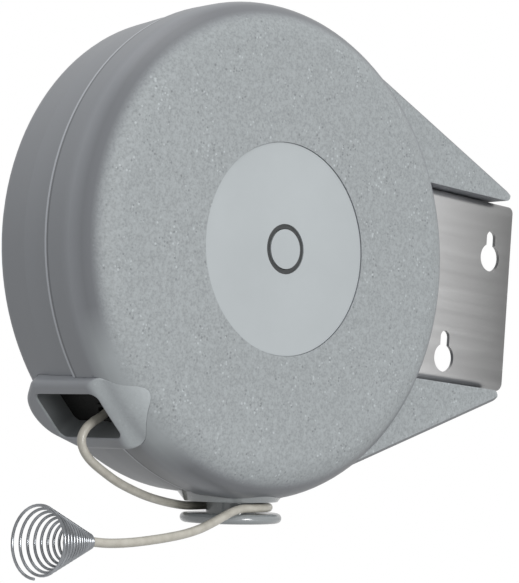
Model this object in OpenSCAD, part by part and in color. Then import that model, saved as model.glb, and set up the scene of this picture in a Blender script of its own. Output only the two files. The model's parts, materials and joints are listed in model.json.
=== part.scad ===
// Retractable clothesline: a round case on a swivelling wall bracket, with a spring-driven
// spool inside, a line that leaves through a moulded mouth, and a cleat that locks it.
// Millimetres, +Z up. The origin is the centre of the bracket's wall face, and -Y points
// into the wall. Inside at_case(), the origin is the case's centre on its parting plane.

/* [Case] */
// Radius of the front shell
case_r = 100; // [92:0.5:120]
// Step from the front shell in to the rear one, on the radius
rear_step = 1.2; // [0.6:0.1:2]
// Depth of the front shell, parting plane to face
front_depth = 26.2; // [24:0.1:34]
// Depth of the rear shell, parting plane to back
rear_depth = 33; // [30:0.5:42]
// Wall of both shells
wall = 3; // [2:0.1:4]
// Rounding of the front edge
front_round = 16.4; // [8:0.1:18]
// Rounding of the back edge
rear_round = 4; // [2:0.5:8]
// Draft of the rear shell's outer half, on the radius
rear_draft = 1.2; // [0.4:0.1:2]

/* [Label and axle] */
// Radius of the bare disc on the face
label_r = 42.4; // [30:0.1:48]
// Radius of the cap over the axle's nut
cap_r = 7.9; // [7:0.1:14]
// Radius of the fixed axle
axle_r = 6; // [5:0.1:8]
// Radius of the bolt through the axle
bolt_r = 2.5; // [2:0.1:3]

/* [Arms and hinge] */
// Distance from the case's rim to the hinge axis
hinge_out = 24.5; // [18:0.5:45]
// Height of each arm's inner face above the case's centre
arm_inner = 42.1; // [36:0.1:48]
// Overhang of an arm's tip past the hinge axis
arm_over = 13; // [9:0.5:14]
// Rounding of an arm's tip
arm_tip_r = 2.5; // [1.5:0.1:3.5]
// Front face of the arms behind the case's face
arm_front_set = 6.9; // [4:0.1:10]
// Back face of the arms in front of the case's back
arm_rear_set = 7.2; // [4:0.1:10]
// Radius of a hinge pin
pin_r = 2.5; // [2:0.1:3]
// Length of a hinge bush
bush_len = 7.4; // [6:0.1:8]

/* [Wall bracket] */
// Width of the bracket
bracket_w = 48; // [40:0.5:50]
// Thickness of its sheet
sheet = 1.5; // [1:0.1:2]
// Outer radius of its bends
bend_r = 3.5; // [2.5:0.1:5]
// Distance from the wall to the hinge axis
hinge_off = 20.3; // [18:0.1:26]
// Radius of a keyhole's head hole
key_head_r = 6.1; // [5:0.1:7]
// Radius of a keyhole's neck
key_neck_r = 2.8; // [2:0.1:3.5]
// Distance between a keyhole's head hole and its seat
key_drop = 9; // [8:0.1:11]

/* [Mouth] */
// Distance from the case's rim out to the mouth's face
mouth_stand = 2.5; // [1:0.5:6]
// Opening along the case's thickness
mouth_long = 37; // [30:0.5:40]
// Opening across that
mouth_wide = 21.7; // [18:0.1:24]
// Radius of the eyelet's bore
eyelet_r = 2.7; // [2.4:0.1:3]

/* [Cleat] */
// Radius of the cleat's disc
cleat_r = 20.5; // [16:0.5:24]
// Radius of its neck
neck_r = 10; // [8:0.5:12]
// Clear height between its base and its disc
cleat_gap = 4.6; // [4.3:0.1:8]

/* [Spool and line] */
// Radius of the spool's hub
hub_r = 60; // [54:0.5:64]
// Radius of the spool's flanges
flange_r = 82; // [78:0.5:84]
// Outer radius of the wound line
coil_r = 76; // [70:0.5:77]
// Width of the winding
coil_w = 26; // [22:0.5:26]
// Diameter of the line
line_d = 3.5; // [3:0.1:4]

/* [End spring] */
// Radius of the spring's big ring, to the wire's centre
cone_r = 13.4; // [12:0.1:17]
// Length of the spring
cone_len = 26.5; // [22:0.5:34]
// Diameter of its wire
wire_d = 1.1; // [0.8:0.1:1.3]

/* [Clearances] */
// Radial clearance of a running fit
run = 0.05; // [0.03:0.01:0.08]
// Clearance of a part that is dropped into its place
drop_in = 0.2; // [0.1:0.05:0.3]
// Clearance between an arm and the bracket
hinge_gap = 0.6; // [0.4:0.1:1]
// Clearance between the case's rim and the bracket's plate
rim_gap = 0.5; // [0.3:0.1:1.5]
// Clearance between the spool and what stands still beside it
spin_gap = 0.5; // [0.4:0.1:0.8]

/* [Hidden] */
$fn = 64;
eps = 0.01;

plastic = "slategray";
steel = "silver";
black = "dimgray";
nylon = "white";

rear_r = case_r - rear_step;
hinge_reach = case_r + hinge_out;
mouth_out = case_r + mouth_stand;

// The bracket's face is this far in front of the parting plane, and the hinge behind it.
wall_gap = 13.8;
hinge_y = hinge_off - wall_gap;
flange_z = arm_inner - hinge_gap;
// The edge beside the case is a curve that follows it, so the sheet starts wider there.
bracket_near = hinge_out + 9.5;
key_mid = [-2.1, -7.2];
key_edge = 17.8;
key_half = [12.8, flange_z - key_edge];
mid_y = (rear_depth - front_depth) / 2;
rear_break = 14.5;
rear_lean = 0.2;
lip_depth = 3;
lip_wall = 2;

// Arms
arm_tip_x = hinge_reach + arm_over;
arm_tip_z = arm_inner + arm_tip_r;
arm_edge_r = case_r - 4;
arm_front_y = -front_depth + arm_front_set;
arm_rear_y = rear_depth - arm_rear_set;
arm_bevel = 1.4;
arm_slope = atan2(arm_tip_z, arm_tip_x)
    + acos((arm_edge_r - arm_tip_r) / norm([arm_tip_x, arm_tip_z]));
bush_wall = 2;
tip_solid = 7.5;
pin_head_r = 4.2;
pin_head = 1.5;
pin_short = 0.6;
pin_chamfer = 0.5;

// Case screws
screw_angles = [15, 70, 125, 180, 257, 310];
screw_r = 1.75;
screw_head_r = 3.2;
screw_head = 2.2;
boss_r = 5;
screw_at = rear_r - wall - boss_r + 0.8;
screw_seat = 8;
screw_deep = 16;

// Mouth: local X runs up along the rim, Y along the case's axis and Z outwards
mouth_angle = 225;
mouth_x = -1.9;
mouth_y = 7.4;
throat_out = mouth_out - 8;
throat_draft = 1;
mouth_step = 1.6;
mouth_proud = 4.8;
mouth_round = 21.6;
mouth_set = 0.2;
mouth_fit = 0.15;
neck_in = throat_out - 6.5;
plate_t = 2.5;
plate_out = throat_out - 1.5;
plate_rim = 1.4;
eyelet_x = -7;
eyelet_y = 3;
eyelet_rim = 1.7;

// Cleat: local Z runs outwards
cleat_angle = 175.6;
cleat_base_r = cleat_r - 1.7;
cleat_base = case_r + 0.7;
disc_t = 4;
cleat_flare = 7;
cleat_deep = 9;
cleat_pin_r = 2;
cleat_nut_r = 4;
cleat_nut = 2;
pad_t = 2.4;
cleat_pad = rear_r - wall - 1.6;

// Spool, along Y
coil_front = mid_y + 0.6 - coil_w / 2;
coil_rear = coil_front + coil_w;
flange_t = 2.5;
hub_wall = 3;
web_t = 2.5;
bush_r = axle_r + 3;
bush_collar_r = bush_r + 3;
bush_boss_r = bush_collar_r + 1;
collar = 2;
tie_r = 1.3;
tie_head_r = 2.6;
tie_head = 1.8;
tie_boss_r = 4;
tie_at = hub_r - hub_wall - tie_boss_r + 1;
tie_deep = 9;
tie_set = 0.6;

// The power spring, and the slot in the axle that holds its tab
spring_r = tie_at - tie_boss_r - 4;
spring_start = axle_r + 2.5;
spring_turns = 10;
spring_t = 0.8;
spring_w = 15;
spring_front = coil_front + 4;
slot_deep = 2.6;

// Axle, its bosses and its bolt
hub_boss_r = bush_boss_r + 1;
socket = 3.5;
front_boss_y = coil_front - flange_t - collar - spin_gap;
rear_boss_y = coil_rear + flange_t - 1 + collar + spin_gap;
axle_front = front_boss_y - socket;
axle_rear = rear_boss_y + socket;
boss_floor = 2.5;
cap_pocket = axle_front - boss_floor;
bolt_pocket = axle_rear + boss_floor;
nut_r = 4.6;
nut_h = 4;
head_r = 4.2;
head_h = 3.5;
label_sink = 0.5;
label_t = 0.6;
label_floor = -front_depth + label_sink + label_t;
cap_groove = 2.1;
cap_skin = 1.2;
cap_wall = 1.5;
cap_set = 0.1;
head_room = 1.6;

// The free line, from the winding through the eyelet and round the cleat to the end spring
line_route = [
    [-19, 4, -76.3], [-30, 4, -73.6], [-41, 3.5, -70.8], [-50, 3, -68.4], [-55, 3, -67.4],
    [-59, 3, -69.6], [-62.5, 3, -72.6], [-66.5, 3, -75.1], [-70, 3, -78.3], [-71.5, 3, -82.4],
    [-69.6, 3.2, -86.6], [-65, 4, -90.2], [-57.5, 5.2, -93.8], [-46.5, 8, -97.6],
    [-31, 12.2, -101], [-17, 15.6, -102.8], [-4, 17.8, -103.5], [8, 18.2, -102.7],
    [17, 15, -102], [22.4, 7, -101.6], [22, -2.5, -101.6], [16.5, -9, -102],
    [8, -12, -102.7], [-0.5, -13, -103.4], [-7, -14.4, -104.9], [-13.5, -16.3, -107.2],
    [-20.5, -18.3, -109.8], [-29.5, -21.3, -112.6], [-40, -23.6, -115.2],
    [-53, -25, -117.6], [-66, -25, -119.6], [-77, -25, -120.5], [-86, -25, -120.4],
    [-92, -25.7, -120.7]];
line_sides = 8;
cone_apex = [-86, -25, -120.4];
cone_turn = [0, 92.5, 186.3];
cone_small_r = line_d / 2 + wire_d / 2 + 0.15;
cone_turns = 13;
cone_tight = 0.6;
knot_r = 3.4;

// ---- Frames and helpers ----

module at_case() {
    translate([-hinge_reach, wall_gap, 0]) children();
}

// A solid of revolution about the case's axis, from an outline of radius and depth.
module turned() {
    rotate([-90, 0, 0]) rotate_extrude() children();
}

// An outline in X and Z, given depth along Y.
module slab(from, to) {
    translate([0, to, 0]) rotate([90, 0, 0]) linear_extrude(to - from) children();
}

// A round bar along the case's axis.
module bar(r, from, to) {
    translate([0, from, 0]) rotate([-90, 0, 0]) cylinder(r = r, h = to - from);
}

module at_mouth() {
    rotate([0, mouth_angle, 0]) children();
}

module at_cleat() {
    translate([0, mid_y, 0]) rotate([0, cleat_angle, 0]) children();
}

module each_screw() {
    for (a = screw_angles) {
        translate([screw_at * cos(a), 0, screw_at * sin(a)]) children();
    }
}

// ---- Outer forms ----

function unit(v) = v / norm(v);

// Where a straight line from a corner touches a circle, on the left of the way there.
function touch(from, centre, r) =
    let (d = from - centre, a = atan2(d[1], d[0]) + acos(r / norm(d)))
    centre + r * [cos(a), sin(a)];

module rounded_profile(r, depth, round) {
    square([r - round, depth]);
    square([r, depth - round]);
    translate([r - round, depth - round]) intersection() {
        circle(round);
        square(round);
    }
}

// Half outlines of the two shells, in radius and depth, shrunk by an inset.
module front_profile(inset) {
    mirror([0, 1]) rounded_profile(case_r - inset, front_depth - inset, front_round - inset);
}

module rear_profile(inset, round) {
    edge_r = rear_r - rear_draft - inset;
    corner = rear_depth - inset - round;
    polygon([[0, 0], [rear_r - inset, 0], [rear_r - inset - rear_lean, rear_break], [edge_r, corner],
        [0, corner]]);
    if (round > 0) rounded_profile(edge_r, corner + round, round);
}

// The whole round case as one form, to cut what sits on it.
module case_form() {
    turned() {
        front_profile(0);
        rear_profile(0, rear_round);
    }
}

// The outline of the upper arm, in X and Z: level inside, and outside it touches the case.
module arm_outline() {
    tip = [arm_tip_x, arm_tip_z];
    n = [cos(arm_slope), sin(arm_slope)];
    polygon([[arm_edge_r * n[0], arm_inner], [tip[0], arm_inner], tip + arm_tip_r * n,
        arm_edge_r * n]);
    translate(tip) circle(arm_tip_r);
}

// Both arms over a stretch of depth.
module arm_pair(from, to) {
    for (side = [0, 1]) {
        mirror([0, 0, side]) slab(from, to) arm_outline();
    }
}

// A bar that takes the long outer edge of each arm off at the given depth.
module arm_bevels(at) {
    side = arm_bevel * sqrt(2);
    for (m = [0, 1]) {
        mirror([0, 0, m]) rotate([0, -arm_slope, 0]) translate([arm_edge_r, at, 0])
            rotate([0, 0, 45]) cube([side, side, 400], center = true);
    }
}

// The hollow of both arms: outside the round case, and short of the solid tip at the hinge.
module arm_hollows(from, to) {
    n = [cos(arm_slope), sin(arm_slope)];
    r = arm_edge_r - wall;
    low = arm_inner + wall;
    right = hinge_reach - pin_r - tip_solid;
    for (side = [0, 1]) {
        mirror([0, 0, side]) difference() {
            slab(from, to) polygon([[0, low], [right, low], [right, (r - right * n[0]) / n[1]],
                [0, r / n[1]]]);
            bar(case_r, from - 1, to + 1);
        }
    }
}

module hinge_bores() {
    for (side = [0, 1]) {
        mirror([0, 0, side]) translate([hinge_reach, hinge_y, arm_inner - 1])
            cylinder(r = pin_r + bush_wall, h = bush_len + 1 + drop_in);
    }
}

// ---- Mouth outlines, in the mouth's own frame ----

// The mouth's rounded six-sided outline: arcs in short straight steps, and common tangents.
module mouth_outline(inset) {
    round = [4.8, 5.5, 13.2, 6, 7.5, 9] - inset * [1, 1, 1, 1, 1, 1];
    at = [[9.5, -12.5], [9, 22.5], [-1.5, 23], [-13, 17.5], [-11.5, -11.5], [0, -16]];
    steps = 5;
    function facing(i) = let (j = (i + 1) % 6, d = at[j] - at[i])
        atan2(d[1], d[0]) - 90 + asin((round[i] - round[j]) / norm(d));
    polygon([for (i = [0 : 5]) let (
        from = facing((i + 5) % 6),
        turn = (facing(i) - from + 720) % 360)
        for (k = [0 : steps]) let (a = from + turn * k / steps)
            at[i] + round[i] * [cos(a), sin(a)]]);
}

module box_outline(x, y, r) {
    translate([mouth_x, mouth_y]) {
        square([x, y - 2 * r], center = true);
        square([x - 2 * r, y], center = true);
        for (i = [-1, 1], j = [-1, 1]) {
            translate([i * (x / 2 - r), j * (y / 2 - r)]) circle(r);
        }
    }
}

module mouth_block() {
    translate([0, 0, neck_in]) linear_extrude(mouth_out - mouth_step - neck_in)
        mouth_outline(0);
    translate([0, 0, neck_in]) linear_extrude(mouth_out - neck_in) mouth_outline(mouth_step);
}

// The form that the mouth stays within: it runs out into the case's front shoulder.
module mouth_limit() {
    r = case_r + mouth_proud;
    turned() {
        mirror([0, 1]) rounded_profile(r, front_depth - mouth_set, mouth_round);
        square([r, rear_depth + mouth_proud]);
    }
}

// What both shells leave free for the mouth.
module mouth_cut() {
    translate([0, 0, neck_in - mouth_fit]) linear_extrude(mouth_out) mouth_outline(-mouth_fit);
}

module mouth_void() {
    throat = [mouth_wide - 2 * throat_draft, mouth_long - 2 * throat_draft];
    hull() {
        translate([0, 0, mouth_out]) linear_extrude(eps)
            box_outline(mouth_wide, mouth_long, 3.2, $fn = 32);
        translate([0, 0, throat_out]) linear_extrude(eps)
            box_outline(throat[0], throat[1], 3, $fn = 32);
    }
    translate([0, 0, neck_in - 1]) linear_extrude(throat_out - neck_in + 1.5)
        box_outline(throat[0], throat[1], 3);
    translate([0, 0, neck_in - 1]) linear_extrude(plate_out - neck_in + 1)
        box_outline(throat[0] + 2 * plate_rim, throat[1] + 2 * plate_rim, 3);
}

// ---- Bracket body ----

module bracket_profile(inset) {
    r = bend_r - inset;
    half = flange_z - inset;
    translate([inset, -half + r]) square([hinge_off + 20, 2 * half - 2 * r]);
    translate([inset + r, -half]) square([hinge_off + 20, 2 * half]);
    for (side = [-1, 1]) {
        translate([inset + r, side * (half - r)]) circle(r);
    }
}

// A flange from above: straight beside the wall, then narrowing to a round ear at the hinge.
module ear_outline() {
    ear_r = 8;
    shoulder = 10;
    right = touch([bracket_w / 2, shoulder], [0, hinge_off], ear_r);
    left = touch([bracket_near, shoulder], [0, hinge_off], ear_r);
    polygon([[-bracket_near, 0], [bracket_w / 2, 0], [bracket_w / 2, shoulder], right,
        [-left[0], left[1]], [-bracket_near, shoulder]]);
    translate([0, hinge_off]) circle(ear_r);
}

module keyhole() {
    circle(key_head_r);
    translate([-key_neck_r, 0]) square([2 * key_neck_r, key_drop]);
    translate([0, key_drop]) circle(key_neck_r);
}

module wall_bracket() {
    color(steel) difference() {
        intersection() {
            translate([-bracket_near, 0, 0]) rotate([90, 0, 90])
                linear_extrude(bracket_near + bracket_w / 2) difference() {
                    bracket_profile(0);
                    bracket_profile(sheet);
                }
            translate([0, 0, -flange_z - 1]) linear_extrude(2 * flange_z + 2) ear_outline();
        }
        at_case() bar(case_r + rim_gap, -wall_gap - 1, rear_depth);
        slab(-1, sheet + 1) for (s = [-1, 1]) {
            translate(key_mid + s * key_half) keyhole();
        }
        for (side = [0, 1]) {
            mirror([0, 0, side]) translate([0, hinge_off, flange_z - sheet - 1])
                cylinder(r = pin_r, h = sheet + 2);
        }
    }
}

// A headed pin, set in the bracket from inside, that reaches into the arm's bush.
module hinge_pin() {
    foot = flange_z - sheet - pin_head;
    tip = arm_inner + bush_len - pin_short;
    translate([0, hinge_off, 0]) {
        translate([0, 0, foot]) cylinder(r = pin_head_r, h = pin_head);
        translate([0, 0, foot + pin_head]) cylinder(r = pin_r, h = tip - foot - pin_head);
        translate([0, 0, tip]) cylinder(r1 = pin_r, r2 = pin_r - pin_chamfer, h = pin_chamfer);
    }
}

module hinge_pin_upper() {
    color(steel) hinge_pin();
}

module hinge_pin_lower() {
    color(steel) mirror([0, 0, 1]) hinge_pin();
}

// ---- Case body ----

module front_shell() {
    color(plastic) at_case() difference() {
        union() {
            turned() front_profile(0);
            difference() {
                arm_pair(arm_front_y, 0);
                arm_bevels(arm_front_y);
            }
        }
        difference() {
            turned() front_profile(wall);
            bar(hub_boss_r, -front_depth, 0);
            each_screw() bar(boss_r, -front_depth, 0);
            for (a = screw_angles) {
                rotate([0, -a, 0]) translate([screw_at, -front_depth, -1])
                    cube([case_r - screw_at, front_depth - lip_depth - 1, 2]);
            }
        }
        arm_hollows(arm_front_y + wall, 1);
        bar(hub_boss_r + 1, front_boss_y, 1);
        bar(axle_r, axle_front, 0);
        bar(bolt_r + drop_in, cap_pocket - 1, 0);
        bar(cap_r + drop_in, -front_depth - 1, cap_pocket);
        bar(label_r + drop_in, -front_depth - 1, label_floor);
        each_screw() bar(screw_r, -screw_deep, 1);
        at_mouth() mouth_cut();
    }
}

module rear_shell() {
    color(plastic) at_case() difference() {
        union() {
            difference() {
                union() {
                    turned() rear_profile(0, rear_round);
                    arm_pair(0, arm_rear_y);
                }
                difference() {
                    translate([0, -eps, 0]) turned() rear_profile(wall, 0);
                    bar(hub_boss_r, 0, rear_depth);
                    each_screw() bar(boss_r, 0, rear_depth);
                }
                arm_hollows(-1, arm_rear_y - wall);
            }
            lip();
            at_cleat() translate([0, 0, cleat_pad]) cylinder(r = cleat_nut_r + 1, h = pad_t);
        }
        at_cleat() cylinder(r = cleat_pin_r + drop_in, h = case_r + 1);
        bar(hub_boss_r + 1, -1, rear_boss_y);
        bar(axle_r, 0, axle_rear);
        bar(bolt_r + drop_in, 0, bolt_pocket + 1);
        bar(head_r + head_room, bolt_pocket, rear_depth + 1);
        each_screw() bar(screw_r + drop_in, -lip_depth - 1, rear_depth);
        each_screw() bar(screw_head_r + drop_in + 0.1, screw_seat, rear_depth + 1);
        hinge_bores();
        back_ring();
        at_mouth() mouth_cut();
    }
}

// The tongue that centres the rear shell in the front one, with gaps at the arms and bosses.
module lip() {
    r = case_r - wall - drop_in;
    difference() {
        turned() translate([r - lip_wall, -lip_depth]) square([lip_wall, lip_depth + 2]);
        each_screw() bar(boss_r + 3, -lip_depth - 1, 0);
        translate([0, -lip_depth - 1, -arm_inner - 50])
            cube([case_r, lip_depth + 1, 2 * arm_inner + 100]);
    }
}

// A shallow ring groove on the back, around the bolt's pocket.
module back_ring() {
    width = 2.4;
    deep = 0.8;
    turned() translate([label_r, rear_depth - deep]) square([width, deep + 1]);
}

module label_disc() {
    color("lightsteelblue") at_case() difference() {
        bar(label_r, label_floor - label_t, label_floor);
        bar(cap_r + cap_groove, -front_depth - 1, 0);
    }
}

module axle_cap() {
    face = label_floor - label_t - cap_set;
    color("lightsteelblue") at_case() mirror([0, 1, 0]) turned() difference() {
        translate([0, -cap_pocket]) square([cap_r, -face + cap_pocket]);
        translate([0, -cap_pocket - 1]) square([cap_r - cap_wall, 1 - face + cap_pocket - cap_skin]);
    }
}

module axle() {
    color(steel) at_case() difference() {
        bar(axle_r, axle_front, axle_rear);
        bar(bolt_r + drop_in, axle_front - 1, axle_rear + 1);
        translate([axle_r - slot_deep, spring_front - 1, -spring_t / 2 - drop_in])
            cube([slot_deep + 1.4, spring_w + 2, spring_t + 2 * drop_in]);
    }
}

module axle_bolt() {
    color(steel) at_case() {
        difference() {
            bar(head_r, bolt_pocket, bolt_pocket + head_h);
            bar(2.3, bolt_pocket + head_h - 2, bolt_pocket + head_h + 1, $fn = 6);
        }
        bar(bolt_r, cap_pocket - nut_h, bolt_pocket);
    }
}

module axle_nut() {
    color(steel) at_case() difference() {
        translate([0, cap_pocket - nut_h, 0]) rotate([-90, 0, 0])
            cylinder(r = nut_r, h = nut_h, $fn = 6);
        bar(bolt_r, cap_pocket - nut_h - 1, cap_pocket + 1);
    }
}

module hinge_bush() {
    at_case() translate([hinge_reach, hinge_y, arm_inner]) difference() {
        cylinder(r = pin_r + bush_wall, h = bush_len);
        translate([0, 0, -1]) cylinder(r = pin_r + run, h = bush_len + 2);
    }
}

module hinge_bush_upper() {
    color(nylon) hinge_bush();
}

module hinge_bush_lower() {
    color(nylon) mirror([0, 0, 1]) hinge_bush();
}

module case_screws() {
    color(steel) at_case() each_screw() {
        difference() {
            bar(screw_head_r, screw_seat, screw_seat + screw_head);
            for (turn = [0, 90]) {
                rotate([0, turn, 0]) translate([-1.8, screw_seat + 1, -0.4])
                    cube([3.6, screw_head, 0.8]);
            }
        }
        bar(screw_r - run, -screw_deep + 1, screw_seat);
    }
}

module mouth_frame() {
    color(plastic) at_case() difference() {
        intersection() {
            at_mouth() mouth_block();
            mouth_limit();
        }
        at_mouth() mouth_void();
    }
}

module guide_plate() {
    over = 2 * (plate_rim - throat_draft - mouth_fit);
    x = mouth_wide + over;
    y = mouth_long + over;
    color(black) at_case() at_mouth() difference() {
        translate([0, 0, plate_out - plate_t]) linear_extrude(plate_t)
            box_outline(x, y, 2.8);
        translate([eyelet_x, eyelet_y, 0]) cylinder(r = eyelet_r + eyelet_rim / 2, h = case_r);
    }
}

// A ring with round lips that grips the guide plate on both sides.
module line_eyelet() {
    mid = plate_out - plate_t / 2;
    color(black) at_case() at_mouth() translate([eyelet_x, eyelet_y, mid])
        rotate_extrude() difference() {
            translate([eyelet_r, -plate_t / 2 - 1]) union() {
                translate([0, 0.6]) square([eyelet_rim, plate_t + 0.8]);
                translate([0.6, 0]) square([eyelet_rim - 0.6, plate_t + 2]);
                for (z = [0.6, plate_t + 1.4]) {
                    translate([0.6, z]) circle(0.6);
                }
            }
            translate([eyelet_r + eyelet_rim / 2, -plate_t / 2]) square([5, plate_t]);
        }
}

module line_cleat() {
    disc = cleat_base + cleat_gap;
    color(plastic) at_case() difference() {
        at_cleat() {
            translate([0, 0, cleat_base - cleat_deep])
                cylinder(r1 = cleat_base_r + cleat_flare, r2 = cleat_base_r, h = cleat_deep);
            translate([0, 0, cleat_base - 1]) cylinder(r = neck_r, h = cleat_gap + 2);
            translate([0, 0, disc]) rotate_extrude() cleat_disc();
        }
        case_form();
        at_cleat() cylinder(r = cleat_pin_r, h = disc + 1);
    }
}

module cleat_disc() {
    flat = cleat_r - disc_t / 2;
    square([flat, disc_t]);
    translate([flat, disc_t / 2]) intersection() {
        circle(disc_t / 2);
        translate([-eps, -disc_t]) square([disc_t, 2 * disc_t]);
    }
}

module cleat_screw() {
    color(steel) at_case() at_cleat() {
        translate([0, 0, cleat_pad - cleat_nut]) cylinder(r = cleat_nut_r, h = cleat_nut);
        translate([0, 0, cleat_pad])
            cylinder(r = cleat_pin_r - run, h = cleat_base + cleat_gap - cleat_pad);
    }
}

// A flat strip wound from the axle outwards, with a straight tab in the axle's slot.
module power_spring() {
    steps = 20 * spring_turns;
    function at(i, side) = let (
        a = 360 * i / 20,
        r = spring_start + (spring_r - spring_start) * i / steps + side * spring_t / 2)
        [r * cos(a), r * sin(a)];
    tab = axle_r - slot_deep + drop_in;
    color(steel) at_case() slab(spring_front, spring_front + spring_w) {
        polygon([for (i = [0 : steps]) at(i, 1), for (i = [steps : -1 : 0]) at(i, -1)]);
        translate([tab, -spring_t / 2]) square([spring_start + 0.3 - tab, spring_t]);
    }
}

// ---- The line ----

// Points along a smooth curve through the route, with some between each two.
function spline(p, i, t) = let (
    a = p[max(i - 1, 0)], b = p[i], c = p[i + 1], d = p[min(i + 2, len(p) - 1)])
    0.5 * (2 * b + (c - a) * t + (2 * a - 5 * b + 4 * c - d) * t * t
        + (3 * b - a - 3 * c + d) * t * t * t);
function smooth(p, n) = concat(
    [for (i = [0 : len(p) - 2]) for (k = [0 : n - 1]) spline(p, i, k / n)],
    [p[len(p) - 1]]);
function way(p, i) = unit(p[min(i + 1, len(p) - 1)] - p[max(i - 1, 0)]);
function across(v, n) = unit(n - v * (n * v));
function sides_of(p, i, before) = i == len(p) ? [] :
    let (n = across(way(p, i), before)) concat([n], sides_of(p, i + 1, n));

// A round tube of the given radius that follows a list of points.
module tube(p, r, sides, start) {
    normals = sides_of(p, 0, start);
    rings = [for (i = [0 : len(p) - 1]) let (u = normals[i], v = cross(way(p, i), u))
        for (k = [0 : sides - 1]) p[i] + r * (u * cos(360 * k / sides) + v * sin(360 * k / sides))];
    last = (len(p) - 1) * sides;
    skin = [for (i = [0 : len(p) - 2]) for (k = [0 : sides - 1]) let (
        a = i * sides + k, b = i * sides + (k + 1) % sides)
        each [[a, a + sides, b], [b, a + sides, b + sides]]];
    polyhedron(rings, concat(skin, [[for (k = [0 : sides - 1]) k],
        [for (k = [sides - 1 : -1 : 0]) last + k]]));
}

module line_tail() {
    color("beige") at_case()
        tube(smooth(line_route, 2), line_d / 2, line_sides, [0, 1, 0]);
}

module line_knot() {
    at = line_route[len(line_route) - 1];
    color("beige") at_case() translate(at) rotate(cone_turn) rotate_extrude() difference() {
        translate([0, knot_r]) circle(knot_r);
        translate([-2 * knot_r, -knot_r]) square([2 * knot_r, 4 * knot_r]);
    }
}

module end_spring() {
    steps = 14;
    wires = [for (i = [0 : cone_turns * steps]) let (
        u = i / (cone_turns * steps),
        h = cone_len * (cone_tight * u + (1 - cone_tight) * u * u),
        r = cone_small_r + (cone_r - cone_small_r) * h / cone_len)
        [r * cos(360 * i / steps), r * sin(360 * i / steps), h]];
    color(steel) at_case() translate(cone_apex) rotate(cone_turn)
        tube(wires, wire_d / 2, 6, [0, 0, 1]);
}

// ---- Spool body ----

module each_tie() {
    for (a = [0 : 60 : 300]) {
        rotate([0, a, 0]) translate([tie_at, 0, 0]) children();
    }
}

module spool_drum() {
    inner = hub_r - hub_wall;
    color(nylon) at_case() difference() {
        union() {
            bar(flange_r, coil_rear, coil_rear + flange_t);
            bar(hub_r, coil_front, coil_rear + flange_t);
            bar(bush_boss_r, coil_rear - 5, coil_rear + flange_t - 1);
        }
        difference() {
            bar(inner, coil_front - 1, coil_rear - web_t);
            bar(bush_boss_r, coil_rear - 5, coil_rear);
            each_tie() bar(tie_boss_r, coil_front + tie_set, coil_rear);
        }
        bar(bush_r, coil_rear - 6, rear_depth);
        bar(bush_collar_r, coil_rear + flange_t - 1, rear_depth);
        each_tie() bar(tie_r, coil_front - 1, coil_front + tie_deep);
    }
}

module spool_flange() {
    color(nylon) at_case() difference() {
        union() {
            bar(flange_r, coil_front - flange_t, coil_front);
            bar(bush_boss_r, coil_front - flange_t, coil_front + 2.5);
        }
        bar(bush_r, -front_depth, 0);
        each_tie() bar(tie_r + drop_in, coil_front - flange_t - 1, coil_front + 1);
    }
}

module flange_screws() {
    color(steel) at_case() each_tie() {
        bar(tie_head_r, coil_front - flange_t - tie_head, coil_front - flange_t);
        bar(tie_r - run, coil_front - flange_t, coil_front + tie_deep - 1);
    }
}

module spool_bush(from, to, collar_from, collar_to) {
    color(black) at_case() difference() {
        union() {
            bar(bush_r, from, to);
            bar(bush_collar_r, collar_from, collar_to);
        }
        bar(axle_r + run, from - 1, to + 1);
    }
}

module spool_bush_front() {
    out = front_boss_y + spin_gap;
    spool_bush(out, coil_front + 2.5, out, coil_front - flange_t);
}

module spool_bush_rear() {
    out = rear_boss_y - spin_gap;
    spool_bush(coil_rear - 5, out, coil_rear + flange_t - 1, out);
}

module wound_line() {
    color("beige") at_case() difference() {
        bar(coil_r, coil_front, coil_rear);
        bar(hub_r, coil_front - 1, coil_rear + 1);
    }
}

wall_bracket();
hinge_pin_upper();
hinge_pin_lower();
front_shell();
rear_shell();
label_disc();
axle_cap();
axle();
axle_bolt();
axle_nut();
hinge_bush_upper();
hinge_bush_lower();
case_screws();
mouth_frame();
guide_plate();
line_eyelet();
line_cleat();
cleat_screw();
power_spring();
line_tail();
line_knot();
end_spring();
spool_drum();
spool_flange();
flange_screws();
spool_bush_front();
spool_bush_rear();
wound_line();
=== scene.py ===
"""Looks of the retractable clothesline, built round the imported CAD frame.

In metres and the frame's axes, apart from the sizes that a comment gives in millimetres.
"""

import json
import math

import bpy
from mathutils import Matrix, Vector


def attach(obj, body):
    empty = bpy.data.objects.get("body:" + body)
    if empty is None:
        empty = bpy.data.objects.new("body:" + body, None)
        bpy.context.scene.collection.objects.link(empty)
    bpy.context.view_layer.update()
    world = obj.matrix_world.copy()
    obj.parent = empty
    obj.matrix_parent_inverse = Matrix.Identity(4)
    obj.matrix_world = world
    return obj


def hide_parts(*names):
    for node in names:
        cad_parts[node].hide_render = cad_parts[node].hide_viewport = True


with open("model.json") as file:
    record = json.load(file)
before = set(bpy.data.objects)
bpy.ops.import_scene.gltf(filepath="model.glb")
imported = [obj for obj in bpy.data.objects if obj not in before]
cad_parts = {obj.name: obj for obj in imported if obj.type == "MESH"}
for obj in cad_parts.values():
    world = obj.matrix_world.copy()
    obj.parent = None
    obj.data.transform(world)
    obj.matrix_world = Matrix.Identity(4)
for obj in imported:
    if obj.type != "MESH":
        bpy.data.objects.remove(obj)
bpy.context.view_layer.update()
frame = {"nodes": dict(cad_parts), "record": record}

MM = 0.001
# The case's centre on its parting plane, in millimetres. Points below are given from there.
CASE = Vector((-124.5, 13.8, 0))
LINE_D = 3.5
WIRE_D = 1.1


def at(p):
    return (Vector(p) + CASE) * MM


# ---- Camera ----

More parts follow.
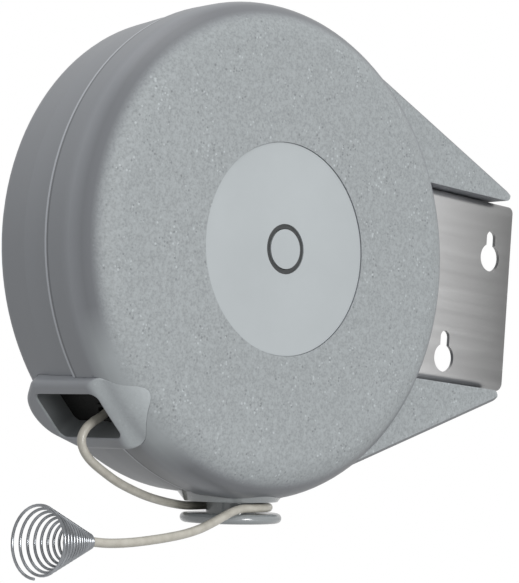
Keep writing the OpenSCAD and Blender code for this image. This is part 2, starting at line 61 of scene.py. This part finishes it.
LENS = 135.5
SENSOR_WIDTH = 36
CAMERA_AT = (-0.714512, -0.641719, -0.114207)
CAMERA_RIGHT = Vector((0.728845, -0.680349, 0.076880))
CAMERA_UP = Vector((-0.131941, -0.029383, 0.990822))


def make_camera():
    data = bpy.data.cameras.new("camera")
    data.lens = LENS
    data.sensor_width = SENSOR_WIDTH
    data.clip_start = 0.02
    camera = bpy.data.objects.new("camera", data)
    back = CAMERA_RIGHT.cross(CAMERA_UP)
    place = Matrix((CAMERA_RIGHT, CAMERA_UP, back)).transposed().to_4x4()
    place.translation = Vector(CAMERA_AT)
    camera.matrix_world = place
    bpy.context.scene.collection.objects.link(camera)
    bpy.context.scene.camera = camera


make_camera()


# ---- Node materials ----

PLASTIC_IOR = 1.48
# A Mix node's sockets: its factor and two colours, and the colour that comes out
MIX_SOCKETS = (0, 6, 7)
MIX_COLOUR = 2


class Surface:
    """A Principled material whose colour, roughness and bump come from textures in object space."""

    def __init__(self, name, rough, metallic=0.0, coat=0.0):
        self.material = bpy.data.materials.new(name)
        self.material.use_nodes = True
        self.tree = self.material.node_tree
        self.tree.nodes.clear()
        output = self.add("OutputMaterial")
        self.shader = self.add("BsdfPrincipled")
        self.link(self.shader.outputs[0], output.inputs[0])
        self.shader.inputs["Roughness"].default_value = rough
        self.shader.inputs["Metallic"].default_value = metallic
        self.shader.inputs["Coat Weight"].default_value = coat
        self.shader.inputs["IOR"].default_value = PLASTIC_IOR
        self.coordinates = self.add("TexCoord")

    def add(self, kind, **values):
        node = self.tree.nodes.new("ShaderNode" + kind)
        for key, value in values.items():
            setattr(node, key, value)
        return node

    def link(self, output, socket):
        self.tree.links.new(output, socket)

    def put(self, value, socket):
        """Gives a socket a number, a colour or another node's output."""
        if isinstance(value, (int, float)):
            socket.default_value = value
        elif isinstance(value, tuple):
            socket.default_value = (*value, 1)
        else:
            self.link(value, socket)

    def axis(self, coordinates, index):
        node = self.add("SeparateXYZ")
        self.link(self.coordinates.outputs[coordinates], node.inputs[0])
        return node.outputs[index]

    def distance(self, vector, place):
        node = self.add("VectorMath", operation="DISTANCE")
        node.inputs[1].default_value = place
        self.link(vector, node.inputs[0])
        return node.outputs["Value"]

    def stretched(self, scale):
        node = self.add("Mapping")
        node.inputs["Scale"].default_value = scale
        self.link(self.coordinates.outputs["Object"], node.inputs["Vector"])
        return node.outputs["Vector"]

    def noise(self, scale, detail=3.0, stretch=(1, 1, 1), distortion=0.0):
        node = self.add("TexNoise")
        node.inputs["Scale"].default_value = scale
        node.inputs["Detail"].default_value = detail
        node.inputs["Distortion"].default_value = distortion
        self.link(self.stretched(stretch), node.inputs["Vector"])
        return node.outputs["Fac"]

    def math(self, operation, a, b):
        node = self.add("Math", operation=operation)
        self.put(a, node.inputs[0])
        self.put(b, node.inputs[1])
        return node.outputs[0]

    def ramp(self, fac, low, high, start=0.3, end=0.7):
        node = self.add("ValToRGB")
        first, last = node.color_ramp.elements
        first.position, last.position = start, end
        first.color, last.color = (*low, 1), (*high, 1)
        self.link(fac, node.inputs[0])
        return node.outputs[0]

    def mix(self, fac, a, b, blend="MIX"):
        node = self.add("Mix", data_type="RGBA", blend_type=blend)
        for index, value in zip(MIX_SOCKETS, (fac, a, b)):
            self.put(value, node.inputs[index])
        return node.outputs[MIX_COLOUR]

    def range(self, value, low, high, to_low, to_high):
        node = self.add("MapRange")
        for index, number in enumerate((low, high, to_low, to_high), 1):
            node.inputs[index].default_value = number
        self.link(value, node.inputs[0])
        return node.outputs[0]

    def colour(self, value):
        self.link(value, self.shader.inputs["Base Color"])

    def roughness(self, value):
        self.link(value, self.shader.inputs["Roughness"])

    def bump(self, height, distance, strength):
        node = self.add("Bump")
        node.inputs["Distance"].default_value = distance
        self.put(strength, node.inputs["Strength"])
        self.link(height, node.inputs["Height"])
        self.link(node.outputs[0], self.shader.inputs["Normal"])


def grey(tint, level):
    return tuple(level * t for t in tint)


# ---- The case's plastic ----

COOL = (0.93, 1.0, 1.03)
RIM_TINT = (0.93, 0.975, 1.05)
# Scales of the noises, in waves to a metre
BROAD_SCALE = 14
GRAIN_SCALE = 1150
COARSE_SCALE = 620
CLUSTER_SCALE = 90
# Between which values each noise goes from nothing to all
GRAIN_RANGE = (0.35, 0.65)
COARSE_RANGE = (0.45, 0.65)
CLUSTER_RANGE = (0.50, 0.57)
# The specks: cells to a metre, how much of a cell is speck, and which cells are dark or light
SPECK_SCALE = 720
SPECK_R = 0.36
DARK_BELOW = 0.2
LIGHT_ABOVE = 0.84
LIGHT_LIMIT = 0.75
# How light the face's coarse grains are, and the painted light on the shoulder beside the mouth,
# next to the face
COARSE_AND_PAINTED_LIGHT_LEVEL = 1.18
# The shoulder's band of painted shade: how much the surface faces the front, where it comes and
# goes
SHADE_COMES = (0.25, 0.55)
SHADE_GOES = (0.76, 0.92)
SHADE_LEVEL = 0.58
# Where the mouth runs out into the front shell's shoulder, in millimetres. The shoulder has painted
# light beside it, in place of the painted shade band, which fades with the distance, in metres.
MOUTH_FRONT = (-67, -17, -67)
MOUTH_FADE = (0.020, 0.040)
MOUTH_PAINTED_LIGHT = 0.85
LIGHT_COMES = (0.12, 0.50)
# Both shells are painted dark within this radius of the axle, in millimetres: painted shade in the
# groove round the cap
GROOVE_R = 10.6
GROOVE_SHADE_LEVEL = 0.05
RIM_ROUGH = 0.36
FACE_ROUGH = 0.58
GRAIN_HEIGHT = 0.0003


def specks(s):
    """Masks of the few dark and the few light specks, which lie in clusters."""
    cells = s.add("TexVoronoi")
    cells.inputs["Scale"].default_value = SPECK_SCALE
    s.link(s.stretched((1, 1, 1)), cells.inputs["Vector"])
    clusters = s.range(s.noise(CLUSTER_SCALE, distortion=1.0), *CLUSTER_RANGE, 0.0, 1.0)
    lot = s.add("SeparateColor")
    s.link(cells.outputs["Color"], lot.inputs[0])
    spot = s.math("MULTIPLY", s.math("LESS_THAN", cells.outputs["Distance"], SPECK_R), clusters)
    dark = s.math("MULTIPLY", spot, s.math("LESS_THAN", lot.outputs[0], DARK_BELOW))
    light = s.math("MULTIPLY", spot, s.math("GREATER_THAN", lot.outputs[0], LIGHT_ABOVE))
    return dark, light


def face_colour(s, face, stipple, broad, grain):
    """The stippled grey of the face: fine dark grains, coarser light ones, and specks."""
    colour = s.ramp(broad, grey(COOL, face * 0.97), grey(COOL, face * 1.03))
    coarse = s.noise(COARSE_SCALE, 2.0)
    dark, light = specks(s)
    layers = (
        (s.range(grain, *GRAIN_RANGE, 0.0, stipple), face * 0.80),
        (s.range(coarse, *COARSE_RANGE, 0.0, 0.5 * stipple), face * COARSE_AND_PAINTED_LIGHT_LEVEL),
        (s.math("MULTIPLY", dark, 0.55 * stipple), face * 0.45),
        (s.math("MULTIPLY", light, 0.5 * stipple), min(face * 1.7, LIGHT_LIMIT)),
    )
    for mask, level in layers:
        colour = s.mix(mask, colour, grey(COOL, level))
    return colour


def rim_colour(s, rim, broad, painted_bands):
    colour = s.ramp(broad, grey(RIM_TINT, rim * 0.96), grey(RIM_TINT, rim * 1.04))
    along = s.axis("Object", 1)
    # Painted highlight and painted shade about the parting line, one stretch along Y at a time
    for low, high, factor in painted_bands:
        inside = s.math(
            "MULTIPLY", s.math("GREATER_THAN", along, low), s.math("LESS_THAN", along, high)
        )
        colour = s.mix(inside, colour, grey(RIM_TINT, factor * rim))
    return colour


def shoulder_painted_shade_and_light(s, colour, face, rim, shade, front):
    """The colour with the shoulder's band of painted shade, and painted light beside the mouth."""
    band = s.math(
        "MULTIPLY", s.range(front, *SHADE_COMES, 0.0, 1.0), s.range(front, *SHADE_GOES, 1.0, 0.0)
    )
    shaded = s.mix(s.math("MULTIPLY", band, shade), colour, grey(RIM_TINT, rim * SHADE_LEVEL))
    beside = s.distance(s.coordinates.outputs["Object"], at(MOUTH_FRONT))
    mouth_painted_light = s.range(beside, *MOUTH_FADE, MOUTH_PAINTED_LIGHT * shade, 0.0)
    mouth_painted_light = s.math("MULTIPLY", mouth_painted_light, s.range(front, *LIGHT_COMES, 0.0, 1.0))
    return s.mix(mouth_painted_light, shaded, grey(COOL, face * COARSE_AND_PAINTED_LIGHT_LEVEL))


# Where the groove round the cap gets its painted shade
def groove_shade_mask(s):
    flat = s.add("VectorMath", operation="MULTIPLY")
    flat.inputs[1].default_value = (1, 0, 1)
    s.link(s.coordinates.outputs["Object"], flat.inputs[0])
    across = s.distance(flat.outputs[0], (CASE.x * MM, 0, 0))
    return s.math("LESS_THAN", across, GROOVE_R * MM)


def case_plastic(name, face, rim, stipple=1.0, painted_bands=(), shade=0.9, turn=(0.70, 0.90)):
    """Moulded plastic: stippled where it faces the front, smooth and darker elsewhere.

    Each band is a stretch along Y, in metres, and what it multiplies the rim's colour by, for the
    painted highlight and painted shade about the parting line.
    The turn is how much the surface faces the front where the rim goes over into the face, and the
    shade is how strong the shoulder's painted shade and the painted light beside the mouth are.
    """
    s = Surface(name, 0.5)
    front = s.math("MULTIPLY", s.axis("Normal", 1), -1.0)
    facing = s.range(front, *turn, 0.0, 1.0)
    broad = s.noise(BROAD_SCALE)
    grain = s.noise(GRAIN_SCALE, 2.0)
    # The rim's colour, with the shoulder's painted shade and the painted light beside the mouth
    side = shoulder_painted_shade_and_light(s, rim_colour(s, rim, broad, painted_bands), face, rim, shade, front)
    colour = s.mix(facing, side, face_colour(s, face, stipple, broad, grain))
    # Painted shade in the groove round the cap
    s.colour(s.mix(groove_shade_mask(s), colour, grey(COOL, GROOVE_SHADE_LEVEL)))
    s.roughness(s.range(facing, 0.0, 1.0, RIM_ROUGH, FACE_ROUGH))
    s.bump(grain, GRAIN_HEIGHT, s.range(facing, 0.0, 1.0, 0.05, 0.55 * stipple))
    return s.material


# ---- The other materials ----

# Scales of the noises, in waves to a metre
PLASTIC_BROAD = 22
PLASTIC_FINE = 1400
STREAKS = 160
BLOTCHES = 30
COATING_MOTTLE = 260
COATING_FINE = 900
# Heights of the bumps, in metres
PLASTIC_HEIGHT = 0.00005
STREAK_HEIGHT = 0.00004
COATING_HEIGHT = 0.0001
COATING_DARK = (0.44, 0.42, 0.365)
COATING_LIGHT = (0.55, 0.53, 0.47)


def smooth_plastic(name, level, tint=COOL, rough=0.4, coat=0.0, shine=0.5):
    s = Surface(name, rough, coat=coat)
    s.shader.inputs["Specular IOR Level"].default_value = shine
    broad = s.noise(PLASTIC_BROAD, 4.0)
    s.colour(s.ramp(broad, grey(tint, level * 0.95), grey(tint, level * 1.05)))
    fine = s.noise(PLASTIC_FINE, 2.0)
    s.roughness(s.range(fine, 0.3, 0.7, rough - 0.05, rough + 0.07))
    s.bump(fine, PLASTIC_HEIGHT, 0.25)
    return s.material


def painted_shade_along_x(s, base, start, end, share):
    """The colour with painted shade: made darker along X from start to end, down to a share of
    itself.
    """
    shade = s.range(s.axis("Object", 0), start, end, 1.0, share)
    dark = s.add("CombineColor")
    for socket in dark.inputs:
        s.link(shade, socket)
    return s.mix(1.0, base, dark.outputs[0], "MULTIPLY")


def brushed_metal(name, low, high, rough, stretch, tint=(1, 1, 1), painted_shade_slope=None):
    """Metal with fine streaks, which run along the axis whose stretch is small."""
    s = Surface(name, rough, metallic=1.0)
    streaks = s.noise(STREAKS, 5.0, stretch)
    blotch = s.noise(BLOTCHES)
    base = s.ramp(streaks, grey(tint, low), grey(tint, high), 0.25, 0.75)
    # Painted shade along X, where it is given
    if painted_shade_slope:
        base = painted_shade_along_x(s, base, *painted_shade_slope)
    s.colour(s.mix(s.range(blotch, 0.4, 0.7, 0.0, 0.12), base, grey(tint, low * 0.8)))
    s.roughness(s.range(streaks, 0.3, 0.7, rough - 0.06, rough + 0.08))
    s.bump(streaks, STREAK_HEIGHT, 0.3)
    return s.material


def line_material():
    """Cream coating, softly mottled."""
    s = Surface("line_coating", 0.34, coat=0.25)
    mottle = s.noise(COATING_MOTTLE, 4.0)
    s.colour(s.ramp(mottle, COATING_DARK, COATING_LIGHT))
    s.roughness(s.range(mottle, 0.3, 0.7, 0.30, 0.42))
    s.bump(s.noise(COATING_FINE, 2.0), COATING_HEIGHT, 0.3)
    return s.material


# The parting line at y = 13.8 mm: a painted highlight on the front shell's edge between two dark
# lines of painted shade in the seam, and behind them a wider stretch of the rear shell given
# painted light
FRONT_SEAM_PAINTED_LIGHT_AND_SHADE = ((0.0127, 0.0139, 1.8), (0.0116, 0.0127, 0.66))
REAR_SEAM_PAINTED_SHADE_AND_LIGHT = ((0.0137, 0.0152, 0.36), (0.0152, 0.0283, 1.06))
# The bracket's painted shade: darker along X, away from the case
BRACKET_PAINTED_SHADE = (-0.033, 0.022, 0.38)

FACE = case_plastic("case_front", 0.375, 0.315, painted_bands=FRONT_SEAM_PAINTED_LIGHT_AND_SHADE)
BACK = case_plastic("case_rear", 0.34, 0.31, 0.5, painted_bands=REAR_SEAM_PAINTED_SHADE_AND_LIGHT)
MOUTH = case_plastic("mouth", 0.48, 0.36, 0.25, shade=0.0, turn=(0.12, 0.62))
# The throat's walls: the same plastic painted much darker, as painted shade in the recess
THROAT_PAINTED_SHADE = smooth_plastic("throat", 0.15, rough=0.5)
MATERIALS = {
    "stainless": brushed_metal(
        "stainless", 0.755, 0.785, 0.36, (0.06, 1, 1.4), painted_shade_slope=BRACKET_PAINTED_SHADE
    ),
    "zinc": brushed_metal("zinc", 0.52, 0.66, 0.30, (1, 1, 1), (0.97, 1.0, 1.03)),
    "case_plastic": smooth_plastic("case_smooth", 0.30, rough=0.38),
    "disc_plastic": smooth_plastic("disc", 0.485, rough=0.42),
    "cleat_plastic": smooth_plastic("cleat", 0.30, rough=0.22, coat=1.0),
    "black_plastic": smooth_plastic("black", 0.005, (1, 1, 1), 0.6, shine=0.15),
    "nylon": smooth_plastic("nylon", 0.62, (1.0, 0.98, 0.92), 0.45),
    "spring_steel": brushed_metal(
        "spring_steel", 0.16, 0.26, 0.32, (1, 0.05, 1), (0.9, 0.97, 1.08)
    ),
    "wire": brushed_metal("wire", 0.22, 0.46, 0.16, (1, 1, 1), (0.96, 1.0, 1.05)),
    "line": line_material(),
}


def give(obj, material):
    obj.data.materials.clear()
    obj.data.materials.append(material)


slots = {row["node"]: row["material_slot"] for row in frame["record"]["subparts"]}
for node_name, node_object in frame["nodes"].items():
    give(node_object, MATERIALS[slots[node_name]])
give(frame["nodes"]["front_shell"], FACE)
give(frame["nodes"]["rear_shell"], BACK)


# ---- Pieces and their shapes ----

SHARP_ANGLE = math.radians(50)


def add_piece(obj, body, slot, node):
    bpy.context.scene.collection.objects.link(obj)
    obj.data.materials.append(MATERIALS[slot])
    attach(obj, body)
    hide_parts(node)


def wire_curve(name, points, radius):
    """A round wire along points in millimetres, as one open spline."""
    data = bpy.data.curves.new(name, "CURVE")
    data.dimensions = "3D"
    data.bevel_depth = radius * MM
    data.bevel_resolution = 5
    data.use_fill_caps = True
    spline = data.splines.new("POLY")
    spline.points.add(len(points) - 1)
    for target, p in zip(spline.points, points):
        target.co = (*at(p), 1)
    spline.use_smooth = True
    return bpy.data.objects.new(name, data)


def smoothed(points, count):
    """Catmull-Rom points through a route, with count steps between each two."""
    last = len(points) - 1
    result = []
    for i in range(last):
        a, b, c, d = (Vector(points[min(max(k, 0), last)]) for k in range(i - 1, i + 3))
        for k in range(count):
            t = k / count
            bend = (2 * a - 5 * b + 4 * c - d) * t * t + (3 * b - a - 3 * c + d) * t * t * t
            result.append(0.5 * (2 * b + (c - a) * t + bend))
    return result + [Vector(points[-1])]


def ring_mesh(name, rings):
    """A skin of quads between rings of equal counts, closed from the last ring to the first."""
    count = len(rings[0])
    verts = [v for ring in rings for v in ring]
    faces = []
    for j in range(len(rings)):
        a, b = j * count, (j + 1) % len(rings) * count
        for i in range(count):
            n = (i + 1) % count
            faces.append((a + i, a + n, b + n, b + i))
    mesh = bpy.data.meshes.new(name)
    mesh.from_pydata(verts, [], faces)
    mesh.validate()
    for face in mesh.polygons:
        face.use_smooth = True
    mesh.set_sharp_from_angle(angle=SHARP_ANGLE)
    return mesh


def quarter(steps):
    """Evenly turned angles from 0 to a right angle."""
    return [math.pi / 2 * k / steps for k in range(steps + 1)]


# ---- The line, its knot and its end spring, in millimetres ----

# From inside the mouth, through the eyelet, round the cleat's neck and out to the end spring
LINE_ROUTE = [
    (-41, 3.5, -70.8), (-50, 3, -68.4), (-55, 3, -67.4),
    (-59, 3, -69.6), (-62.5, 3, -72.6), (-66.5, 3, -75.1), (-70, 3, -78.3), (-71.5, 3, -82.4),
    (-69.6, 3.2, -86.6), (-65, 4, -90.2), (-57.5, 5.2, -93.8), (-46.5, 8, -97.6),
    (-31, 12.2, -101), (-17, 15.6, -102.8), (-4, 17.8, -103.5), (8, 18.2, -102.7),
    (17, 15, -102), (22.4, 7, -101.6), (22, -2.5, -101.6), (16.5, -9, -102),
    (8, -12, -102.7), (-0.5, -13, -103.4), (-7, -14.4, -104.9), (-13.5, -16.3, -107.2),
    (-20.5, -18.3, -109.8), (-29.5, -21.3, -112.6), (-40, -23.6, -115.2),
    (-53, -25, -117.6), (-66, -25, -119.6), (-77, -25, -120.5), (-86, -25, -120.4),
    (-92, -25.7, -120.7),
]
LINE_STEPS = 6
CONE_APEX = Vector((-86, -25, -120.4))
CONE_YAW = Matrix.Rotation(math.radians(186.3), 3, "Z")
CONE_TURN = CONE_YAW @ Matrix.Rotation(math.radians(92.5), 3, "Y")
CONE_R = 13.4
CONE_LENGTH = 26.5
CONE_SMALL_R = LINE_D / 2 + WIRE_D / 2 + 0.15
CONE_TURNS = 13
CONE_STEPS = 40
# How even the pitch is: 1 is the same pitch all along, and less makes it grow outwards
CONE_EVEN = 0.6
# How far past the line's end the knot's middle lies, its size and its strand's radius
KNOT_PAST = 3.4
KNOT_SCALE = 0.62
KNOT_STRAND_R = 1.35
KNOT_STEPS = 60


def cone_wire():
    total = CONE_TURNS * CONE_STEPS
    points = []
    for i in range(total + 1):
        u = i / total
        height = CONE_LENGTH * (CONE_EVEN * u + (1 - CONE_EVEN) * u * u)
        r = CONE_SMALL_R + (CONE_R - CONE_SMALL_R) * height / CONE_LENGTH
        turn = math.tau * i / CONE_STEPS
        local = Vector((r * math.cos(turn), r * math.sin(turn), height))
        points.append(CONE_APEX + CONE_TURN @ local)
    return points


def knot_strand():
    """An overhand knot drawn tight: one trefoil turn, about 6 mm across."""
    centre = Vector(LINE_ROUTE[-1]) + CONE_TURN @ Vector((0, 0, KNOT_PAST))
    points = []
    for i in range(KNOT_STEPS + 1):
        t = math.tau * i / KNOT_STEPS
        x = math.sin(t) + 2 * math.sin(2 * t)
        y = math.cos(t) - 2 * math.cos(2 * t)
        local = Vector((x, y, -math.sin(3 * t)))
        points.append(centre + CONE_TURN @ (local * KNOT_SCALE))
    return points


line = wire_curve("line_free_end", smoothed(LINE_ROUTE, LINE_STEPS), LINE_D / 2)
add_piece(line, "case", "line", "line_tail")
knot = wire_curve("line_end_knot", knot_strand(), KNOT_STRAND_R)
add_piece(knot, "case", "line", "line_knot")
spring = wire_curve("conical_end_spring", cone_wire(), WIRE_D / 2)
add_piece(spring, "case", "wire", "end_spring")


# ---- The mouth: one smooth moulding with rounded edges, in millimetres ----

# The outline's six arcs, by radius and centre
MOUTH_ROUND = (4.8, 5.5, 13.2, 6, 7.5, 9)
MOUTH_AT = [
    Vector(p) for p in ((9.5, -12.5), (9, 22.5), (-1.5, 23), (-13, 17.5), (-11.5, -11.5), (0, -16))
]
# The opening
MOUTH_MIDDLE = Vector((-1.9, 7.4))
MOUTH_LONG = 37
MOUTH_WIDE = 21.7
MOUTH_CORNER = 3.2
# Distances outwards from the case's axis
MOUTH_OUT = 102.5
MOUTH_IN = 88
THROAT_OUT = 94.5
THROAT_WALL = 1.5
# How much narrower the throat is than the opening, and how much wider the room behind it
THROAT_LESS = 2
NECK_MORE = 0.8
DEEP_CORNER = 3
EDGE_R = 2.4
LIP_R = 0.7
# The form that the moulding stays within, where it runs out into the case's front shoulder
LIMIT_R = 104.8
LIMIT_ROUND = 21.6
LIMIT_Y = -4.4
EASE = 0.8
# The front shell's shoulder, and where along Y the moulding runs out flush with it
SHELL_R = 100
SHOULDER_R = 16.4
SHOULDER_Y = -9.8
FLUSH_FROM = -8
FLUSH_OVER = 9
FLUSH_OVERLAP = 0.05
# How finely the arcs and the rings are divided
AROUND = 240
ARC_STEPS = 12
CORNER_STEPS = 8
EDGE_STEPS = 6
LIP_STEPS = 5
FRONT_STEPS = 8


def outer_outline(inset):
    """The rounded six-sided outline: arcs about six centres, joined by common tangents."""
    rounds = [r - inset for r in MOUTH_ROUND]
    sides = len(rounds)

    def facing(i):
        j = (i + 1) % sides
        d = MOUTH_AT[j] - MOUTH_AT[i]
        return math.atan2(d.y, d.x) - math.pi / 2 + math.asin((rounds[i] - rounds[j]) / d.length)

    points = []
    for i in range(sides):
        start = facing((i - 1) % sides)
        turn = (facing(i) - start) % math.tau
        for k in range(ARC_STEPS + 1):
            a = start + turn * k / ARC_STEPS
            points.append(MOUTH_AT[i] + rounds[i] * Vector((math.cos(a), math.sin(a))))
    return points


def box_outline(wide, long, r):
    points = []
    for i, (sx, sy) in enumerate(((1, 1), (-1, 1), (-1, -1), (1, -1))):
        centre = MOUTH_MIDDLE + Vector((sx * (wide / 2 - r), sy * (long / 2 - r)))
        for k in range(CORNER_STEPS + 1):
            a = math.pi / 2 * (i + k / CORNER_STEPS)
            points.append(centre + r * Vector((math.cos(a), math.sin(a))))
    return points


def opening(more, r):
    """The opening's outline, wider and longer by an amount."""
    return rays(box_outline(MOUTH_WIDE + more, MOUTH_LONG + more, r))


def rays(outline):
    """The outline resampled where evenly turned rays from the mouth's middle cross it."""
    result = []
    for i in range(AROUND):
        a = math.tau * i / AROUND
        way = Vector((math.cos(a), math.sin(a)))
        best = 0
        for p, q in zip(outline, outline[1:] + outline[:1]):
            e = q - p
            det = way.x * -e.y + way.y * e.x
            if abs(det) < 1e-9:
                continue
            d = p - MOUTH_MIDDLE
            t = (d.x * -e.y + d.y * e.x) / det
            u = (way.x * d.y - way.y * d.x) / det
            if -1e-6 <= u <= 1 + 1e-6:
                best = max(best, t)
        result.append(MOUTH_MIDDLE + best * way)
    return result


def from_mouth(p, out):
    """A point of the mouth's frame: X up along the rim, Y along the case's axis, then outwards."""
    h = math.sqrt(0.5)
    return at((-h * p.x - h * out, p.y, h * p.x - h * out))


def rounded(radius, corner, start, y):
    """The radius of a form with a rounded front corner, which starts at a place along Y."""
    drop = min(max(start - y, 0), corner)
    return radius - corner + math.sqrt(corner**2 - drop**2)


def limited(p, out):
    """The distance outwards, eased down onto the limiting form, which meets the case in front."""
    proud = rounded(LIMIT_R, LIMIT_ROUND, LIMIT_Y, p.y)
    shell = rounded(SHELL_R, SHOULDER_R, SHOULDER_Y, p.y)
    near = min(max((FLUSH_FROM - p.y) / FLUSH_OVER, 0), 1)
    near = near * near * (3 - 2 * near)
    radius = proud + (shell + FLUSH_OVERLAP - proud) * near
    top = math.sqrt(radius**2 - p.x**2)
    return -EASE * math.log(math.exp(-out / EASE) + math.exp(-top / EASE))


def blended(a, b, count):
    """The rings evenly between two rings, each given with its distance outwards."""
    (ring_a, out_a), (ring_b, out_b) = a, b
    rings = []
    for k in range(1, count):
        t = k / count
        ring = [p.lerp(q, t) for p, q in zip(ring_a, ring_b)]
        rings.append((ring, out_a + (out_b - out_a) * t))
    return rings


def mouth_mesh():
    """The moulding from its hidden root over the edge and the lip, and back in down the throat."""
    root = rays(outer_outline(0))
    rings = [(root, MOUTH_IN), (root, MOUTH_OUT - EDGE_R - 1)]
    for a in quarter(EDGE_STEPS):
        inset = EDGE_R * (1 - math.cos(a))
        rings.append((rays(outer_outline(inset)), MOUTH_OUT - EDGE_R + EDGE_R * math.sin(a)))
    lip = []
    for a in quarter(LIP_STEPS):
        grow = 2 * LIP_R * (1 - math.sin(a))
        ring = opening(grow, MOUTH_CORNER + grow / 2)
        lip.append((ring, MOUTH_OUT - LIP_R * (1 - math.cos(a))))
    rings += blended(rings[-1], lip[0], FRONT_STEPS) + lip
    deep_from = len(rings) - 1
    throat = opening(-THROAT_LESS, DEEP_CORNER)
    neck = opening(NECK_MORE, DEEP_CORNER)
    wall_in = THROAT_OUT - THROAT_WALL
    rings += [(throat, THROAT_OUT), (throat, wall_in), (neck, wall_in), (neck, MOUTH_IN)]
    placed = [[from_mouth(p, limited(p, out)) for p in ring] for ring, out in rings]
    return ring_mesh("mouth_moulding", placed), deep_from * AROUND


mouth_skin, throat_from = mouth_mesh()
mouth = bpy.data.objects.new("mouth_moulding", mouth_skin)
add_piece(mouth, "case", "case_plastic", "mouth_frame")
give(mouth, MOUTH)
mouth.data.materials.append(THROAT_PAINTED_SHADE)
# The throat's faces take the second material, the painted shade of the recess
for face in mouth_skin.polygons:
    face.material_index = int(face.index >= throat_from)


# ---- The winding on the spool, with its turns, in millimetres ----

COIL_FRONT = -9
COIL_REAR = 17
COIL_R = 76
HUB_R = 60
COIL_TURNS = 7
COIL_STEPS = 8
COIL_AROUND = 96


def winding_mesh():
    pitch = (COIL_REAR - COIL_FRONT) / COIL_TURNS
    profile = [(HUB_R, COIL_FRONT)]
    for i in range(COIL_TURNS):
        for k in range(COIL_STEPS + 1):
            a = math.pi * k / COIL_STEPS
            y = COIL_FRONT + pitch * (i + 0.5) - pitch / 2 * math.cos(a)
            profile.append((COIL_R - pitch / 2 * (1 - math.sin(a)), y))
    profile.append((HUB_R, COIL_REAR))
    turns = [math.tau * i / COIL_AROUND for i in range(COIL_AROUND)]
    rings = [[at((r * math.cos(t), y, r * math.sin(t))) for t in turns] for r, y in profile]
    return ring_mesh("line_winding", rings)


winding = bpy.data.objects.new("line_winding", winding_mesh())
add_piece(winding, "spool", "line", "wound_line")


# ---- Floor, background and lights ----

FLOOR_HALF = 3.0
FLOOR_Z = -0.30
FLOOR_DARK = (0.86, 0.86, 0.86)
FLOOR_LIGHT = (0.9, 0.9, 0.9)
# The studio's fill light, from below and from above, and between which heights it is graded
FILL_LOW = 0.11
FILL = 0.69
FILL_BETWEEN = (-1.0, 0.4)
# Where the lights aim
MIDDLE = (-0.1, 0, -0.01)


def make_floor():
    ways = ((-1, -1), (1, -1), (1, 1), (-1, 1))
    corners = [(x * FLOOR_HALF, y * FLOOR_HALF, FLOOR_Z) for x, y in ways]
    mesh = bpy.data.meshes.new("floor")
    mesh.from_pydata(corners, [], [(0, 1, 2, 3)])
    floor = bpy.data.objects.new("floor", mesh)
    bpy.context.scene.collection.objects.link(floor)
    s = Surface("floor", 0.8)
    s.colour(s.ramp(s.noise(3.0), FLOOR_DARK, FLOOR_LIGHT))
    floor.data.materials.append(s.material)
    floor.visible_diffuse = False


def area_light(name, place, size, power):
    data = bpy.data.lights.new(name, "AREA")
    data.shape = "DISK"
    data.size = size
    data.energy = power
    light = bpy.data.objects.new(name, data)
    light.location = place
    aim = Vector(MIDDLE) - Vector(place)
    light.rotation_euler = aim.to_track_quat("-Z", "Y").to_euler()
    bpy.context.scene.collection.objects.link(light)


def make_world():
    """White to the camera, and otherwise a fill that is stronger from above."""
    world = bpy.data.worlds.new("studio")
    world.use_nodes = True
    nodes, links = world.node_tree.nodes, world.node_tree.links
    nodes.clear()
    output = nodes.new("ShaderNodeOutputWorld")
    choose = nodes.new("ShaderNodeMixShader")
    path = nodes.new("ShaderNodeLightPath")
    fill = nodes.new("ShaderNodeBackground")
    backdrop = nodes.new("ShaderNodeBackground")
    for index, background in enumerate((fill, backdrop), 1):
        background.inputs["Color"].default_value = (1, 1, 1, 1)
        background.inputs["Strength"].default_value = 1.0
        links.new(background.outputs[0], choose.inputs[index])
    ways = nodes.new("ShaderNodeTexCoord")
    parts = nodes.new("ShaderNodeSeparateXYZ")
    height = nodes.new("ShaderNodeMapRange")
    for socket, value in zip(height.inputs[1:5], (*FILL_BETWEEN, FILL_LOW, FILL)):
        socket.default_value = value
    links.new(ways.outputs["Generated"], parts.inputs[0])
    links.new(parts.outputs["Z"], height.inputs[0])
    links.new(height.outputs[0], fill.inputs["Strength"])
    links.new(path.outputs["Is Camera Ray"], choose.inputs[0])
    links.new(choose.outputs[0], output.inputs[0])
    bpy.context.scene.world = world
    bpy.context.scene.view_settings.view_transform = "Standard"


make_floor()
make_world()
area_light("key", (-0.25, -1.9, 0.1), 0.8, 20)
area_light("top", (-0.35, 0.1, 1.3), 0.9, 2.5)
